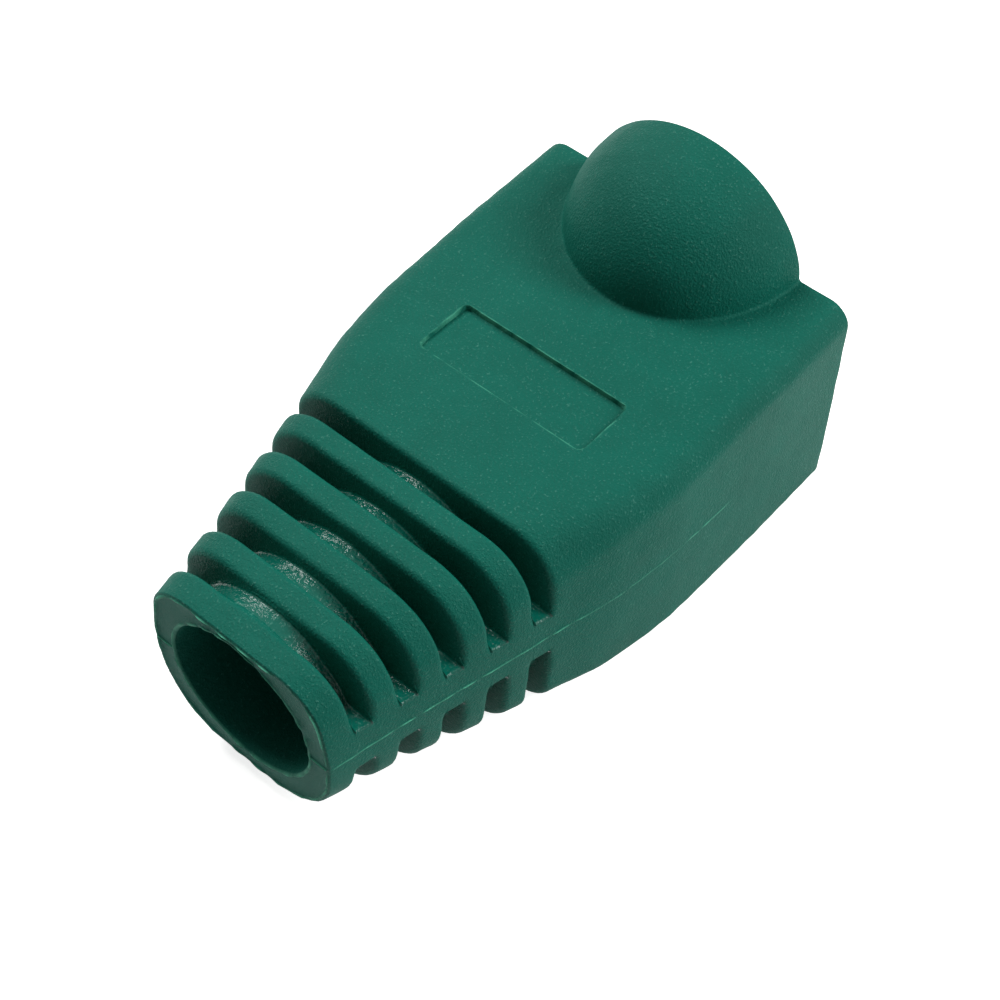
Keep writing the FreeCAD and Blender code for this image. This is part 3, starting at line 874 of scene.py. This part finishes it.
def plain_for_camera(tree, shown, otherwise):
    """Mixes two shaders: shown for what the camera sees straight, in a reflection or through
    something clear, and otherwise for all other light."""
    path = node(tree, "ShaderNodeLightPath").outputs
    straight = node(tree, "ShaderNodeMath", {
        0: path["Is Camera Ray"], 1: path["Is Glossy Ray"]}, operation="MAXIMUM")
    seen = node(tree, "ShaderNodeMath", {
        0: straight.outputs["Value"], 1: path["Is Transmission Ray"]}, operation="MAXIMUM")
    mixed = node(tree, "ShaderNodeMixShader", {0: seen.outputs["Value"], 1: otherwise, 2: shown})
    return mixed.outputs["Shader"]


def card():
    """A white card as the floor."""
    corners = [(x * FLOOR_HALF, y * FLOOR_HALF, -FLOOR_DROP)
               for x, y in ((-1, -1), (1, -1), (1, 1), (-1, 1))]
    mesh = bpy.data.meshes.new("floor")
    mesh.from_pydata(corners, [], [(0, 1, 2, 3)])
    mesh.materials.append(floor_paint())
    return bpy.data.objects.new("floor", mesh)


# Half the floor's side in metres, and how far it lies under the boot, so that the two flat
# faces never share a plane
FLOOR_HALF = 0.2
FLOOR_DROP = 0.02 * MM


def floor_paint():
    """Matt white card: a shadow falls on it, and the rest of it clips to plain white. It gives
    the boot less light than it shows, or the boot's flanks would turn pale."""
    material = bpy.data.materials.new("matt_white_card")
    material.use_nodes = True
    tree = material.node_tree
    tree.nodes.clear()
    white = node(tree, "ShaderNodeBsdfDiffuse", {"Color": linear("#f8f8f6")})
    lift = node(tree, "ShaderNodeEmission", {"Strength": CARD_LIFT})
    bright = node(tree, "ShaderNodeAddShader", {
        0: white.outputs["BSDF"], 1: lift.outputs["Emission"]})
    dull = node(tree, "ShaderNodeBsdfDiffuse", {"Color": linear("#747474")})
    seen = plain_for_camera(tree, bright.outputs["Shader"], dull.outputs["BSDF"])
    node(tree, "ShaderNodeOutputMaterial", {"Surface": seen})
    return material


def studio():
    """The world: plain white to the camera, and faint even light on the boot."""
    world = bpy.data.worlds.new("studio")
    world.use_nodes = True
    tree = world.node_tree
    tree.nodes.clear()
    white = node(tree, "ShaderNodeBackground", {"Color": (1, 1, 1, 1), "Strength": 1.0})
    soft = node(tree, "ShaderNodeBackground", {"Color": (1, 1, 1, 1), "Strength": WORLD_LIGHT})
    seen = plain_for_camera(tree, white.outputs["Background"], soft.outputs["Background"])
    node(tree, "ShaderNodeOutputWorld", {"Surface": seen})
    return world


# How far the card is lifted towards white where the camera sees it, and the world's light
CARD_LIFT = 0.8
WORLD_LIGHT = 0.07


class BOOT_OT_stage(bpy.types.Operator):
    """Lays the floor and sets the camera, the lamps and the world."""

    bl_idname = "boot.stage"
    bl_label = "Stage"

    def execute(self, context):
        scene = context.scene
        camera(scene)
        floor = card()
        scene.collection.objects.link(floor)
        for name, setting in LAMPS.items():
            lamp(scene, name, *setting)
        scene.world = studio()
        scene.view_settings.view_transform = "Standard"
        return {"FINISHED"}


class BOOT_PT_panel(bpy.types.Panel):
    """Lists the sizes, the colours and the operators."""

    bl_label = "Strain relief boot"
    bl_idname = "BOOT_PT_panel"
    bl_space_type = "VIEW_3D"
    bl_region_type = "UI"
    bl_category = "Boot"

    def draw(self, context):
        for group in (context.scene.boot_sizes, context.scene.boot_colours):
            box = self.layout.box()
            for name in type(group).__annotations__:
                box.prop(group, name)
        for operator in OPERATORS:
            self.layout.operator(operator.bl_idname)


OPERATORS = (BOOT_OT_moulding, BOOT_OT_stage)
CLASSES = (BootSizes, BootColours, *OPERATORS, BOOT_PT_panel)


def register():
    """Makes the sizes, the colours, the operators and the panel known to Blender."""
    for item in CLASSES:
        bpy.utils.register_class(item)
    bpy.types.Scene.boot_sizes = PointerProperty(type=BootSizes)
    bpy.types.Scene.boot_colours = PointerProperty(type=BootColours)


def unregister():
    """Takes back what register has done, in reverse."""
    del bpy.types.Scene.boot_colours
    del bpy.types.Scene.boot_sizes
    for item in reversed(CLASSES):
        bpy.utils.unregister_class(item)


def main():
    """Builds the boot and its stage."""
    register()
    bpy.ops.boot.moulding()
    bpy.ops.boot.stage()


if __name__ == "__main__":
    main()
